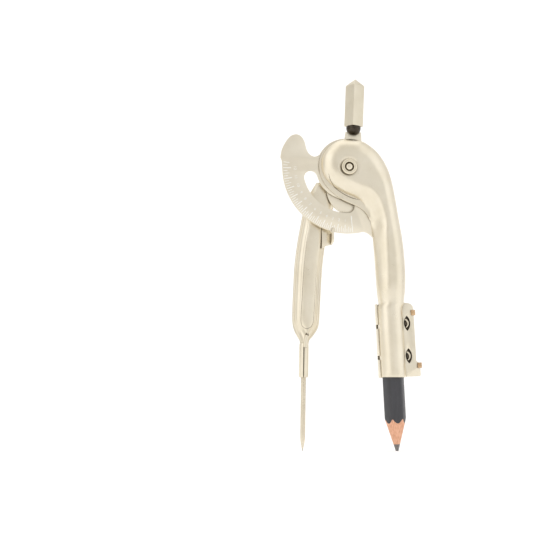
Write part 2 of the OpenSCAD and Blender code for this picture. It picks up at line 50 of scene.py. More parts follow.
joints = {j["name"]: j for j in frame["joints"]}

# Sizes in millimetres from the leg pivot: X to the pencil, Y to the back, Z up, as in part.scad.
MM = 0.001
PIVOT = Vector(joints["leg_swing"]["pos_m"])
SHEET = 0.7
ARC_FRONT = -0.4
ARC_BACK = 0.4
LEG_FRONT = 2.06
LEG_BACK = LEG_FRONT + SHEET
DOME_H = 4.6
EYELET_R = 2.1
EYELET_SEAT_R = 3.9
HUB_R = 11.4
RING_OUT_R = 24.1
PENCIL_LEAN = math.radians(2.6)
PENCIL_Y = 0.2
PENCIL_X_LOW = 16.95
SLEEVE_LOW = 76.9
SLEEVE_OUT_R = 4.74
SLEEVE_IN_R = 4.14
FLANGE_EDGE = 8.94
NEEDLE_X = -15.75
NEEDLE_Y = 2.56
NEEDLE_LEAN = math.radians(1.0)
SOCKET_TOP = 64.0
SOCKET_LEN = 13.0
LEG_LENGTH = 103.6


def at_pivot(x, y, z):
    return PIVOT + Vector((x, y, z)) * MM


def at_pencil(x, y, z):
    """Millimetres in the pencil's frame: origin level with the sleeve's lower end, z up the pencil."""
    c, s = math.cos(PENCIL_LEAN), math.sin(PENCIL_LEAN)
    return at_pivot(PENCIL_X_LOW + x * c - z * s, PENCIL_Y + y, -SLEEVE_LOW + x * s + z * c)


def at_needle(x, y, z):
    """Millimetres in the needle's frame: origin at the top of the socket, z up the needle."""
    c, s = math.cos(NEEDLE_LEAN), math.sin(NEEDLE_LEAN)
    return at_pivot(NEEDLE_X + x * c + z * s, NEEDLE_Y + y, -SOCKET_TOP - x * s + z * c)


scene = bpy.context.scene


# Materials


def tree_of(name):
    mat = bpy.data.materials.new(name)
    mat.use_nodes = True
    tree = mat.node_tree
    return mat, tree, tree.nodes["Principled BSDF"]


def mm_coords(tree, scale):
    """Object coordinates in millimetres, stretched by scale."""
    coord = tree.nodes.new("ShaderNodeTexCoord")
    mapping = tree.nodes.new("ShaderNodeMapping")
    mapping.inputs["Scale"].default_value = [1000 * v for v in scale]
    tree.links.new(coord.outputs["Object"], mapping.inputs["Vector"])
    return mapping.outputs["Vector"]


def noise(tree, scale, detail=4.0, rough=0.55):
    node = tree.nodes.new("ShaderNodeTexNoise")
    node.inputs["Scale"].default_value = 1.0
    node.inputs["Detail"].default_value = detail
    node.inputs["Roughness"].default_value = rough
    tree.links.new(mm_coords(tree, scale), node.inputs["Vector"])
    return node.outputs["Fac"]


def ramp(tree, fac, stops):
    node = tree.nodes.new("ShaderNodeValToRGB")
    tree.links.new(fac, node.inputs["Fac"])
    while len(node.color_ramp.elements) < len(stops):
        node.color_ramp.elements.new(0.5)
    for element, (pos, value) in zip(node.color_ramp.elements, stops):
        element.position = pos
        element.color = (value, value, value, 1) if isinstance(value, float) else (*value, 1)
    return node.outputs["Color"]


def mix(tree, a, b, fac, mode="MIX"):
    node = tree.nodes.new("ShaderNodeMix")
    node.data_type = "RGBA"
    node.blend_type = mode
    node.clamp_factor = True
    if isinstance(fac, float):
        node.inputs["Factor"].default_value = fac
    else:
        tree.links.new(fac, node.inputs["Factor"])
    for socket, value in ((node.inputs["A"], a), (node.inputs["B"], b)):
        tree.links.new(value, socket)
    return node.outputs["Result"]


def bump(tree, height, distance, strength, under=None):
    node = tree.nodes.new("ShaderNodeBump")
    node.inputs["Distance"].default_value = distance * MM
    node.inputs["Strength"].default_value = strength
    tree.links.new(height, node.inputs["Height"])
    if under is not None:
        tree.links.new(under, node.inputs["Normal"])
    return node.outputs["Normal"]


def plated(name, light, dark, rough_low, rough_high, grain=(6.0, 6.0, 6.0), grain_bump=0.006):
    """Plated or bare metal: cloudy tone, dark specks, painted shade in crevices, patchy polish, fine
    grain.
    """
    mat, tree, shader = tree_of(name)
    cloud = noise(tree, (0.12, 0.12, 0.12), 3.0)
    base = ramp(tree, cloud, [(0.3, dark), (0.7, light)])
    speck = ramp(tree, noise(tree, (2.2, 2.2, 2.2), 6.0, 0.7), [(0.26, 0.9), (0.38, 1.0)])
    crevice = tree.nodes.new("ShaderNodeAmbientOcclusion")
    crevice.samples = 6
    crevice.inputs["Distance"].default_value = 1.7 * MM
    tone = mix(tree, base, speck, 1.0, "MULTIPLY")
    # Painted shade: occluded crevices and gaps get a dark brown base colour in place of the shadow that
    # falls there
    crevice_shade = ramp(tree, crevice.outputs["AO"], [(0.22, (0.2, 0.16, 0.11)), (0.72, (1.0, 1.0, 1.0))])
    tree.links.new(mix(tree, tone, crevice_shade, 1.0, "MULTIPLY"), shader.inputs["Base Color"])
    shader.inputs["Metallic"].default_value = 1.0
    patch = ramp(tree, noise(tree, (0.35, 0.35, 0.35), 5.0), [(0.3, rough_low), (0.75, rough_high)])
    fine = ramp(tree, noise(tree, grain, 5.0, 0.65), [(0.3, 0.0), (0.9, 0.12)])
    tree.links.new(mix(tree, patch, fine, 1.0, "ADD"), shader.inputs["Roughness"])
    long_wave = bump(tree, noise(tree, (0.25, 0.25, 0.25), 2.0), 0.05, 0.35)
    normal = bump(tree, noise(tree, grain, 5.0, 0.65), grain_bump, 0.5, long_wave)
    tree.links.new(normal, shader.inputs["Normal"])
    return mat


NICKEL = plated("nickel_polished", (0.85, 0.785, 0.65), (0.775, 0.705, 0.56), 0.24, 0.34)
RIVET = plated("nickel_rivet", (0.80, 0.73, 0.585), (0.72, 0.65, 0.50), 0.22, 0.34)
SATIN = plated(
    "nickel_satin", (0.85, 0.79, 0.66), (0.80, 0.735, 0.60), 0.3, 0.4, (9.0, 9.0, 9.0), 0.012
)
KNOB = plated("nickel_knob", (0.75, 0.695, 0.57), (0.68, 0.62, 0.49), 0.34, 0.46, (5.0, 5.0, 0.6), 0.012)
STEEL = plated("steel_drawn", (0.78, 0.71, 0.575), (0.66, 0.59, 0.46), 0.2, 0.32, (5.0, 5.0, 0.5), 0.004)
MARK = plated("scale_marks_bright", (0.97, 0.95, 0.9), (0.93, 0.905, 0.84), 0.35, 0.5)
MARK.node_tree.nodes["Principled BSDF"].inputs["Metallic"].default_value = 0.0
# Painted reflection: the orange-brown tone stands in for the coloured reflection on the edges of the
# nickel-plated clinch tabs
TAB_REFLECTION_TINT = plated("tab_painted_reflection", (0.72, 0.50, 0.30), (0.50, 0.33, 0.19), 0.2, 0.35)
# Painted shade: dark brown for the thin lines laid along creases and panel edges, where shadow falls
PAINTED_CREASE_SHADE = plated("painted_crease_shade", (0.42, 0.36, 0.27), (0.26, 0.21, 0.15), 0.4, 0.6)
# Painted shade: near black, in place of the shadow inside the sleeve's openings and under the knob
PAINTED_SHADE_DARK = plated("painted_shade_dark", (0.12, 0.10, 0.075), (0.045, 0.037, 0.03), 0.16, 0.3)


def paint_material():
    mat, tree, shader = tree_of("pencil_lacquer")
    streaks = noise(tree, (0.8, 0.8, 0.06), 4.0)
    tone = ramp(tree, streaks, [(0.3, (0.032, 0.032, 0.037)), (0.7, (0.046, 0.046, 0.053))])
    scuff = ramp(tree, noise(tree, (3.0, 3.0, 0.8), 6.0, 0.7), [(0.6, 0.0), (0.72, 0.35)])
    worn = ramp(tree, scuff, [(0.0, (0.0, 0.0, 0.0)), (1.0, (0.12, 0.12, 0.125))])
    tree.links.new(mix(tree, tone, worn, 1.0, "ADD"), shader.inputs["Base Color"])
    patches = noise(tree, (1.2, 1.2, 0.4), 4.0)
    tree.links.new(ramp(tree, patches, [(0.3, 0.4), (0.75, 0.6)]), shader.inputs["Roughness"])
    shader.inputs["Coat Weight"].default_value = 0.15
    shader.inputs["Coat Roughness"].default_value = 0.25
    tree.links.new(bump(tree, noise(tree, (4.0, 4.0, 0.5), 4.0), 0.02, 0.4), shader.inputs["Normal"])
    return mat


def wood_material():
    mat, tree, shader = tree_of("cedar_sharpened")
    grain = noise(tree, (2.6, 2.6, 0.22), 7.0, 0.62)
    tone = ramp(
        tree,
        grain,
        [(0.25, (0.52, 0.235, 0.13)), (0.5, (0.78, 0.42, 0.27)), (0.75, (0.90, 0.54, 0.37))],
    )
    tree.links.new(tone, shader.inputs["Base Color"])
    shader.inputs["Roughness"].default_value = 0.62
    shader.inputs["Specular IOR Level"].default_value = 0.3
    cuts = bump(tree, noise(tree, (0.5, 0.5, 5.0), 3.0), 0.05, 0.4)
    tree.links.new(bump(tree, grain, 0.06, 0.5, cuts), shader.inputs["Normal"])
    return mat


def graphite_material():
    mat, tree, shader = tree_of("graphite_point")
    grain = noise(tree, (5.0, 5.0, 1.4), 5.0)
    tone = ramp(tree, grain, [(0.3, (0.13, 0.12, 0.118)), (0.75, (0.27, 0.255, 0.245))])
    tree.links.new(tone, shader.inputs["Base Color"])
    shader.inputs["Metallic"].default_value = 0.45
    patches = noise(tree, (3.0, 3.0, 3.0), 3.0)
    tree.links.new(ramp(tree, patches, [(0.3, 0.34), (0.75, 0.52)]), shader.inputs["Roughness"])
    tree.links.new(bump(tree, noise(tree, (7.0, 7.0, 2.0), 5.0), 0.03, 0.5), shader.inputs["Normal"])
    return mat


PAINT = paint_material()
WOOD = wood_material()
GRAPHITE = graphite_material()


# Mesh helpers


def finish_piece(obj, body, materials, stands_for=()):
    """Gives a mesh its materials, its moving body and the CAD nodes that it stands for."""
    obj.data.materials.clear()
    for mat in materials if isinstance(materials, (list, tuple)) else [materials]:
        obj.data.materials.append(mat)
    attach(obj, body)
    if stands_for:
        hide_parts(*stands_for)
    return obj


def to_object(name, bm):
    mesh = bpy.data.meshes.new(name)
    bmesh.ops.recalc_face_normals(bm, faces=bm.faces)
    bm.to_mesh(mesh)
    bm.free()
    obj = bpy.data.objects.new(name, mesh)
    bpy.context.scene.collection.objects.link(obj)
    return obj


def apply_modifiers(obj):
    bpy.context.view_layer.update()
    graph = bpy.context.evaluated_depsgraph_get()
    mesh = bpy.data.meshes.new_from_object(obj.evaluated_get(graph))
    mesh.name = obj.name
    obj.modifiers.clear()
    obj.data = mesh


def shade(obj, angle):
    """Smooth shading, with edges sharper than angle kept sharp."""
    limit = math.radians(angle)
    bm = bmesh.new()
    bm.from_mesh(obj.data)
    for face in bm.faces:
        face.smooth = True
    for edge in bm.edges:
        edge.smooth = len(edge.link_faces) == 2 and edge.calc_face_angle(math.pi) < limit
    bm.to_mesh(obj.data)
    bm.free()


def round_edges(obj, width, segments=2, angle=35, sharp=40):
    bevel = obj.modifiers.new("round", "BEVEL")
    bevel.width = width * MM
    bevel.segments = segments
    bevel.limit_method = "ANGLE"
    bevel.angle_limit = math.radians(angle)
    bevel.use_clamp_overlap = True
    apply_modifiers(obj)
    shade(obj, sharp)


def from_node(node, name, width, segments=2, angle=35):
    """A copy of a CAD solid with its sharp edges rounded off."""
    bm = bmesh.new()
    bm.from_mesh(nodes[node].data)
    bmesh.ops.remove_doubles(bm, verts=bm.verts, dist=1e-7)
    bmesh.ops.dissolve_limit(
        bm, angle_limit=math.radians(0.4), verts=bm.verts, edges=bm.edges, delimit={"NORMAL"}
    )
    obj = to_object(name, bm)
    round_edges(obj, width, segments, angle)
    return obj


def prism(name, outline, y_low, y_high, place=at_pivot, holes=(), width=0.12):
    """A flat plate in the XZ plane, from a closed outline in millimetres and holes cut through it."""
    curve = bpy.data.curves.new(name, "CURVE")
    curve.dimensions = "2D"
    curve.fill_mode = "BOTH"
    curve.extrude = (y_high - y_low) / 2
    for line in [outline, *holes]:
        spline = curve.splines.new("POLY")
        spline.points.add(len(line) - 1)
        for point, (x, z) in zip(spline.points, line):
            point.co = (x, z, 0, 1)
        spline.use_cyclic_u = True
    holder = bpy.data.objects.new(name, curve)
    bpy.context.scene.collection.objects.link(holder)
    bpy.context.view_layer.update()
    mesh = bpy.data.meshes.new_from_object(holder.evaluated_get(bpy.context.evaluated_depsgraph_get()))
    bpy.data.objects.remove(holder)
    bm = bmesh.new()
    bm.from_mesh(mesh)
    bpy.data.meshes.remove(mesh)
    bmesh.ops.remove_doubles(bm, verts=bm.verts, dist=1e-4)
    middle = (y_low + y_high) / 2
    for vert in bm.verts:
        x, z, y = vert.co
        vert.co = place(x, middle - y, z)
    bmesh.ops.dissolve_limit(bm, angle_limit=math.radians(0.4), verts=bm.verts, edges=bm.edges)
    obj = to_object(name, bm)
    round_edges(obj, width)
    return obj


def ring_points(r, count):
    """Points all round a circle about the pivot."""
    turns = [2 * math.pi * i / count for i in range(count)]
    return [(r * math.sin(t), -r * math.cos(t)) for t in turns]


def arc_points(r, a, b, step=3.0, cx=0.0, cz=0.0):
    """Points on a circle from angle a to b in degrees, measured from straight down to the pencil side."""
    count = max(2, int(abs(b - a) / step) + 1)
    out = []
    for i in range(count):
        t = math.radians(a + (b - a) * i / (count - 1))
        out.append((cx + r * math.sin(t), cz - r * math.cos(t)))
    return out


def smooth_line(points, steps):
    """Smooth open curve through points of any length."""
    out = []
    last = len(points) - 1
    for i in range(last):
        a, b = points[max(i - 1, 0)], points[i]
        c, d = points[i + 1], points[min(i + 2, last)]
        for s in range(steps):
            t = s / steps
            out.append(
                tuple(
                    0.5
                    * (
                        2 * q
                        + (r - p) * t
                        + (2 * p - 5 * q + 4 * r - u) * t * t
                        + (3 * q - p - 3 * r + u) * t**3
                    )
                    for p, q, r, u in zip(a, b, c, d)
                )
            )
    out.append(tuple(points[-1]))
    return out


def lathe(name, profile, place, count, closed=True):
    """Turned piece round the local z axis of a frame, from (radius, z) points in millimetres."""
    bm = bmesh.new()
    rows = []
    for k in range(count):
        a = 2 * math.pi * k / count
        rows.append([bm.verts.new(place(r * math.cos(a), r * math.sin(a), z)) for r, z in profile])
    n = len(profile)
    for k in range(count):
        here, there = rows[k], rows[(k + 1) % count]
        for i in range(n if closed else n - 1):
            j = (i + 1) % n
            bm.faces.new((here[i], there[i], there[j], here[j]))
    bmesh.ops.remove_doubles(bm, verts=bm.verts, dist=1e-7)
    obj = to_object(name, bm)
    shade(obj, 40)
    return obj


def along_pivot(x, y, z):
    """Millimetres in a frame at the pivot whose z runs along the pivot's own axis, to the back."""
    return at_pivot(x, z, y)


WELL_IN_FRONT = -12.0
# Section of a painted shade line: share of its half width, and height over the surface, most of it sunk
# in
LINE_SECTION = [(-1, -0.1), (1, -0.1), (1, 0.012), (0, 0.02), (-1, 0.012)]


def drawn_line(name, on, points, width):
    """Narrow dark line lying on the front of a finished piece, tapering out at both ends: painted shade
    along a crease or edge.
    """
    corners = [on.matrix_world @ v.co for v in on.data.vertices]
    tree = BVHTree.FromPolygons(corners, [tuple(p.vertices) for p in on.data.polygons])
    spots = []
    for x, z in smooth_line(points, 8):
        hit, normal, _, _ = tree.ray_cast(at_pivot(x, WELL_IN_FRONT, z), Vector((0, 1, 0)))
        if hit is not None:
            spots.append((hit, normal if normal.y < 0 else -normal))
    last = len(spots) - 1
    bm = bmesh.new()
    rows = []
    for k, (spot, normal) in enumerate(spots):
        along = spots[min(k + 1, last)][0] - spots[max(k - 1, 0)][0]
        across = along.cross(normal).normalized()
        half = width / 2 * MM * min(1.0, 0.15 + 5 * min(k, last - k) / len(spots))
        rows.append([bm.verts.new(spot + across * half * u + normal * v * MM) for u, v in LINE_SECTION])
    for a, b in zip(rows, rows[1:]):
        for k in range(len(LINE_SECTION)):
            j = (k + 1) % len(LINE_SECTION)
            bm.faces.new((a[k], a[j], b[j], b[k]))
    bm.faces.new(rows[0])
    bm.faces.new(list(reversed(rows[-1])))
    return to_object(name, bm)


def solid_sheet(name, bm, thickness):
    """Gives a front surface its thickness towards the back, with rounded rims."""
    obj = to_object(name, bm)
    if sum(p.normal.y * p.area for p in obj.data.polygons) > 0:
        obj.data.flip_normals()
    solid = obj.modifiers.new("sheet", "SOLIDIFY")
    solid.thickness = thickness * MM
    solid.offset = -1
    apply_modifiers(obj)
    round_edges(obj, 0.16, 2, 62, 50)
    return obj


def new_material(node, material):
    nodes[node].data.materials.clear()
    nodes[node].data.materials.append(material)


# Pencil leg: a pressed shell whose height depends on the distance from its outline

# From the sleeve up to the pivot: middle of the shell x, z; left edge x, z; width of its flat flange;
# softness of the wall there; right edge x, z
LEG_PAIRS = [
    (16.4, -50.0, 11.7, -50.0, 0.0, 0.0, 21.1, -50.0),
    (16.3, -47.4, 11.3, -47.4, 0.0, 0.0, 21.35, -47.4),
    (16.2, -44.5, 10.9, -44.5, 0.0, 0.1, 21.6, -44.5),
    (16.1, -39.6, 10.6, -39.6, 0.0, 0.2, 21.75, -39.6),
    (15.8, -32.0, 10.1, -32.0, 0.0, 0.3, 21.4, -32.0),
    (15.1, -25.0, 9.5, -25.0, 0.0, 0.45, 20.6, -25.0),
    (14.6, -20.5, 9.1, -21.5, 0.05, 0.7, 19.9, -20.8),
    (13.5, -15.8, 8.2, -18.5, 0.3, 0.95, 19.1, -16.0),
    (11.8, -11.0, 6.6, -16.0, 1.1, 1.0, 18.2, -10.6),
    (9.4, -7.0, 4.4, -14.3, 2.4, 0.6, 17.2, -5.4),
    (6.6, -4.3, 1.6, -13.1, 2.8, 0.1, 16.0, -1.0),
    (3.8, -2.4, -1.6, -11.7, 2.6, 0.0, 14.6, 2.2),
    (1.7, -1.1, -4.6, -9.7, 2.2, 0.0, 12.9, 4.9),
    (0.5, -0.3, -7.2, -7.3, 1.7, 0.0, 10.9, 7.2),
    (0.0, 0.0, -9.0, -4.8, 1.3, 0.0, 8.6, 9.0),
]
# Round the top of the dome from left to right: edge x, z and width of the flange
LEG_TOP = [
    (-10.1, -2.0, 1.0),
    (-10.5, 1.0, 0.8),
    (-10.0, 4.0, 0.65),
    (-8.6, 6.7, 0.5),
    (-6.3, 9.0, 0.4),
    (-3.4, 10.6, 0.3),
    (-0.2, 11.3, 0.2),
    (3.1, 11.2, 0.1),
    (6.0, 10.5, 0.1),
]


def ease(t):
    t = min(1.0, max(0.0, t))
    return t * t * (3 - 2 * t)


def wall_rise(t, soft):
    """Height of the pressed wall at share t of its run: a crisp quarter ellipse, or a soft S."""
    crisp = math.sqrt(max(0.0, 1 - (1 - t) ** 2))
    return crisp * (1 - soft) + ease(t) * soft


# Below the pivot the dome's channel turns into the round sleeve between these two depths
SLEEVE_BLEND_FROM = 42.5
SLEEVE_BLEND_TO = 50.0
SLEEVE_ROWS = 25
ROW_POINTS = 44
FLANGE_POINTS = 5


def sleeve_middles():
    """Stations up the sleeve: z, and x of the pencil's axis."""
    lean = math.tan(PENCIL_LEAN)
    rise = (SLEEVE_LOW - SLEEVE_BLEND_TO) / SLEEVE_ROWS
    heights = [-SLEEVE_LOW + rise * i for i in range(SLEEVE_ROWS)]
    return [(z, PENCIL_X_LOW - lean * (SLEEVE_LOW + z)) for z in heights]


def shell_line(x, z, flange, mx, mz, soft):
    """Points over the shell from its outline at x, z in to its middle at mx, mz."""
    low = ease((-z - SLEEVE_BLEND_FROM) / (SLEEVE_BLEND_TO - SLEEVE_BLEND_FROM))
    reach = math.hypot(mx - x, mz - z)
    flange = max(0.0, flange)
    dome = ease((13.0 - math.hypot(mx, mz)) / 9.0)
    soft = min(1.0, max(0.0, soft)) * (1 - low)
    wall = 4.4 + 0.9 * dome + 1.6 * soft
    run = min(wall, reach - flange) * (1 - low) + reach * low
    base = ARC_FRONT * (1 - low) + PENCIL_Y * low
    deep = DOME_H * (1 - low) + SLEEVE_OUT_R * low
    foot = SHEET * ease(flange / 0.35)
    flat = FLANGE_POINTS if flange > 0.2 else 0
    points = []
    for k in range(ROW_POINTS + 1):
        if k < flat:
            d = flange * k / flat
        else:
            t = (k - flat) / (ROW_POINTS - flat)
            d = flange + (reach - flange) * (1 - math.cos(math.pi / 2 * t))
        share = d / reach
        px, pz = x + (mx - x) * share, z + (mz - z) * share
        h = foot
        if d > flange or not flat:
            t = min(1.0, (d - flange) / run)
            sag = (0.4 + 0.7 * dome) * (1 - share) ** 2 * (1 - low)
            h += (deep - foot - sag) * wall_rise(t, soft)
            h -= 0.3 * ease((EYELET_SEAT_R - math.hypot(px, pz)) / 0.8)
        points.append(at_pivot(px, base - h, pz))
    return points


def pencil_leg_shell():
    left = [(lx, lz, f, mx, mz, soft) for mx, mz, lx, lz, f, soft, rx, rz in LEG_PAIRS]
    top = [(x, z, f, 0.0, 0.0, 0.0) for x, z, f in LEG_TOP]
    right = [(rx, rz, 0.0, mx, mz, 0.15) for mx, mz, lx, lz, f, soft, rx, rz in reversed(LEG_PAIRS)]
    sleeve_left = [(m - SLEEVE_OUT_R, z, 0.0, m, z, 0.0) for z, m in sleeve_middles()]
    sleeve_right = [(m + SLEEVE_OUT_R, z, 0.0, m, z, 0.0) for z, m in reversed(sleeve_middles())]
    rows = sleeve_left + smooth_line(left + top + right, 6) + sleeve_right
    bm = bmesh.new()
    grid = [[bm.verts.new(point) for point in shell_line(*row)] for row in rows]
    for a, b in zip(grid, grid[1:]):
        for k in range(ROW_POINTS):
            bm.faces.new((a[k], a[k + 1], b[k + 1], b[k]))
    bmesh.ops.remove_doubles(bm, verts=bm.verts, dist=2e-5)
    hole = EYELET_R - 0.15
    under_eyelet = [v for v in bm.verts if math.hypot(v.co.x - PIVOT.x, v.co.z - PIVOT.z) < hole * MM]
    bmesh.ops.delete(bm, geom=under_eyelet, context="VERTS")
    return solid_sheet("pencil_leg_shell", bm, SHEET)


leg_shell = finish_piece(pencil_leg_shell(), "pencil_arm", NICKEL, ["pencil_leg"])


# Line where the dome meets the flange, from left to right
CREASE = [(-7.4, -2.4), (-6.5, -4.9), (-4.4, -7.4), (-1.6, -9.4), (1.6, -10.9), (4.7, -11.6)]
# A painted shade line along the crease where the dome meets the flange
finish_piece(drawn_line("dome_crease_shade", leg_shell, CREASE, 0.3), "pencil_arm", PAINTED_CREASE_SHADE)


# Flange of the sleeve, with two lens-shaped openings

LENS_PLACES = (7.6, 19.6)
FLANGE_STEP = 1.4


def lens(z):
    w, h = 2.4, 5.6
    r = (w * w + h * h) / (4 * w)
    half = math.degrees(math.asin(h / 2 / r))
    cx = SLEEVE_OUT_R + 1.5
    right = arc_points(r, 90 - half, 90 + half, 5, cx - r + w / 2, z)
    left = arc_points(r, 270 - half, 270 + half, 5, cx + r - w / 2, z)
    return right[:-1] + left[:-1]


flange = prism(
    "sleeve_flange",
    [
        (SLEEVE_IN_R + 0.3, 0.0),
        (FLANGE_EDGE + FLANGE_STEP - 0.3, 0.0),
        (FLANGE_EDGE + FLANGE_STEP, 0.3),
        (FLANGE_EDGE + FLANGE_STEP, 4.2),
        (FLANGE_EDGE + FLANGE_STEP - 0.4, 4.9),
        (FLANGE_EDGE, 5.7),
        (FLANGE_EDGE, 24.6),
        (FLANGE_EDGE - 0.25, 25.8),
        (FLANGE_EDGE - 1.0, 26.7),
        (FLANGE_EDGE - 2.0, 27.0),
        (SLEEVE_IN_R + 0.3, 27.4),
    ],
    -0.55,
    0.05,
    at_pencil,
    [lens(z) for z in LENS_PLACES],
    0.14,
)
finish_piece(flange, "pencil_arm", NICKEL)

def worn_tabs(obj):
    """Gives the faces of the two clinch tabs the second material, an orange tint that is a painted
    reflection.
    """
    for face in obj.data.polygons:
        middle = face.center - at_pencil(0, 0, 0)
        along = middle.x * math.cos(PENCIL_LEAN) + middle.z * math.sin(PENCIL_LEAN)
        up = -middle.x * math.sin(PENCIL_LEAN) + middle.z * math.cos(PENCIL_LEAN)
        low_tab = along > (FLANGE_EDGE + FLANGE_STEP - 0.02) * MM
        top_tab = along > (FLANGE_EDGE - 0.02) * MM and up > 20 * MM
        front_tab = middle.y < -0.56 * MM and along > 7 * MM
        if low_tab or top_tab or front_tab:
            face.material_index = 1


sleeve_rear = from_node("sleeve_back", "sleeve_rear", 0.1)
finish_piece(sleeve_rear, "pencil_arm", [NICKEL, TAB_REFLECTION_TINT], ["sleeve_back"])
worn_tabs(sleeve_rear)
# The grip spring is coloured near black as painted shade, so the sleeve's openings read dark inside
new_material("grip_spring", PAINTED_SHADE_DARK)


def spring_bow(z):
    """Bright bent strip of the grip spring that shows as a crescent in an opening."""
    outer = arc_points(1.75, 25, 165, 8, SLEEVE_OUT_R + 0.35, z)
    inner = arc_points(1.5, 160, 30, 8, SLEEVE_OUT_R + 0.05, z - 0.15)
    return prism("spring_bow", outer + inner, -0.8, -0.2, at_pencil, (), 0.05)


for lens_z in LENS_PLACES:
    finish_piece(spring_bow(lens_z), "pencil_arm", STEEL)


# Arc scale

STOP_R = 25.1
STOP_ANGLE = math.radians(98.6)
SLOT_OUT_R = 16.5


def arc_outline():
    """Outline of the plate: hub, neck, lobe with the stop corner, ring and foot under the pencil leg."""
    corner = (-STOP_R * math.sin(STOP_ANGLE), -STOP_R * math.cos(STOP_ANGLE))
    line = smooth_line(
        [
            corner,
            (-24.3, 6.6),
            (-22.9, 9.5),
            (-21.1, 11.7),
            (-18.9, 12.5),
            (-17.0, 11.7),
            (-15.8, 9.7),
            (-15.1, 7.0),
            (-14.0, 5.2),
            (-12.2, 4.3),
            (-10.4, 4.9),
        ],
        5,
    )
    line += arc_points(HUB_R, 246.0, 90.0, 4)
    line += [(10.5, -9.0), (15.0, -12.0), (17.5, -20.0), (17.5, -26.4)]
    line += [(9.9, -25.6), (9.2, -25.0), (8.4, -24.3), (7.6, -23.75), (6.6, -23.45)]
    line += arc_points(RING_OUT_R, 14.0, -86.5, 2)
    line += [(-24.22, 1.4), (-24.29, 2.5)]
    return line


def slot_outline():
    """The open slot between the hub and the graduated ring, with round ends."""
    inner, outer = HUB_R, SLOT_OUT_R
    mid, half = (inner + outer) / 2, (outer - inner) / 2
    a, b = -75.0, 1.5
    line = arc_points(outer, a, b, 3)
    t = math.radians(b)
    line += arc_points(half, b, b + 180, 12, mid * math.sin(t), -mid * math.cos(t))[1:-1]
    line += arc_points(inner, b, a, 3)
    t = math.radians(a)
    line += arc_points(half, a + 180, a + 360, 12, mid * math.sin(t), -mid * math.cos(t))[1:-1]
    return line


plate = prism(
    "arc_plate",
    arc_outline(),
    ARC_FRONT,
    ARC_BACK,
    holes=[slot_outline(), ring_points(EYELET_R, 48)],
)
finish_piece(plate, "pencil_arm", SATIN, ["arc_scale"])

# Scale lines for circle diameters in quarter inches: the opening angle that draws each one
INCH = 25.4
ZERO_ANGLE = 5.1
MARK_PROUD = 0.018
MARK_OUT_R = 23.8
# Inner ends of the marks: the zero line, whole inches, halves and quarters
ZERO_IN_R = 17.6
INCH_IN_R = 20.9
HALF_IN_R = 21.6
QUARTER_IN_R = 22.2
LARGEST_CIRCLE = 12.5
DIGIT_R = 19.4
DIGIT_SIZE = 1.5
DIGIT_RELIEF = 0.03


def scale_angle(inches):
    """Angle on the plate, from straight down, of the mark for a circle of this diameter."""
    return ZERO_ANGLE - math.degrees(2 * math.asin(inches * INCH / (4 * LEG_LENGTH)))


def scale_lines():
    bm = bmesh.new()
    for i in range(int(4 * LARGEST_CIRCLE) + 1):
        t = math.radians(scale_angle(i / 4))
        inner = INCH_IN_R if i % 4 == 0 else HALF_IN_R if i % 2 == 0 else QUARTER_IN_R
        if i == 0:
            inner = ZERO_IN_R
        half = 0.15 if i % 4 == 0 else 0.115
        radial = Vector((math.sin(t), 0, -math.cos(t)))
        side = Vector((math.cos(t), 0, math.sin(t)))
        corners = []
        for y in (ARC_FRONT - MARK_PROUD, ARC_FRONT + 0.05):
            for r, w in ((inner, -1), (inner, 1), (MARK_OUT_R, 1), (MARK_OUT_R, -1)):
                p = radial * r + side * (half * w)
                corners.append(bm.verts.new(at_pivot(p.x, y, p.z)))
        front, rear = corners[:4], corners[4:]
        bm.faces.new(front)
        bm.faces.new(rear)
        for k in range(4):
            j = (k + 1) % 4
            bm.faces.new((front[k], front[j], rear[j], rear[k]))
    return to_object("scale_lines", bm)


finish_piece(scale_lines(), "pencil_arm", MARK)


def scale_numbers():
    bm = bmesh.new()
    for inches in range(1, 13):
        curve = bpy.data.curves.new("digit", "FONT")
        curve.body = str(inches)
        curve.size = DIGIT_SIZE
        curve.align_x = "CENTER"
        curve.align_y = "CENTER"
        curve.extrude = DIGIT_RELIEF
        curve.resolution_u = 3
        holder = bpy.data.objects.new("digit", curve)
        scene.collection.objects.link(holder)
        bpy.context.view_layer.update()
        graph = bpy.context.evaluated_depsgraph_get()
        mesh = bpy.data.meshes.new_from_object(holder.evaluated_get(graph))
        t = math.radians(scale_angle(inches))
        turn_back = Matrix.Rotation(t, 4, "Y").inverted()
        x, y, z = DIGIT_R * math.sin(t), ARC_FRONT - MARK_PROUD + DIGIT_RELIEF, -DIGIT_R * math.cos(t)
        for vert in mesh.vertices:
            p = turn_back @ Vector((vert.co.x, 0, vert.co.y))
            vert.co = at_pivot(p.x + x, y - vert.co.z, p.z + z)
        bm.from_mesh(mesh)
        bpy.data.objects.remove(holder)
        bpy.data.meshes.remove(mesh)
        bpy.data.curves.remove(curve)
    bmesh.ops.remove_doubles(bm, verts=bm.verts, dist=1e-7)
    return to_object("scale_numbers", bm)


finish_piece(scale_numbers(), "pencil_arm", MARK)


# Pivot, bearing and handle


def rolled_rim(y, side):
    """Bead at one end of the eyelet, from its outside to its bore; side is -1 in front and 1 behind."""
    turns = [math.pi * i / 12 for i in range(13)]
    return [(2.26 - 0.63 * math.cos(a), y + side * (0.12 + 0.62 * math.sin(a) ** 0.8)) for a in turns]


def eyelet():
    bore, front, rear = 1.63, -5.0, 4.01
    line = [(bore, rear + 0.12), (bore, front - 0.12), *rolled_rim(front, -1), (EYELET_R, front + 0.05)]
    line += [(EYELET_R, rear - 0.05), *reversed(rolled_rim(rear, 1))]
    return lathe("eyelet_rolled", line, along_pivot, 64)


finish_piece(eyelet(), "pencil_arm", RIVET, ["pivot_eyelet"])

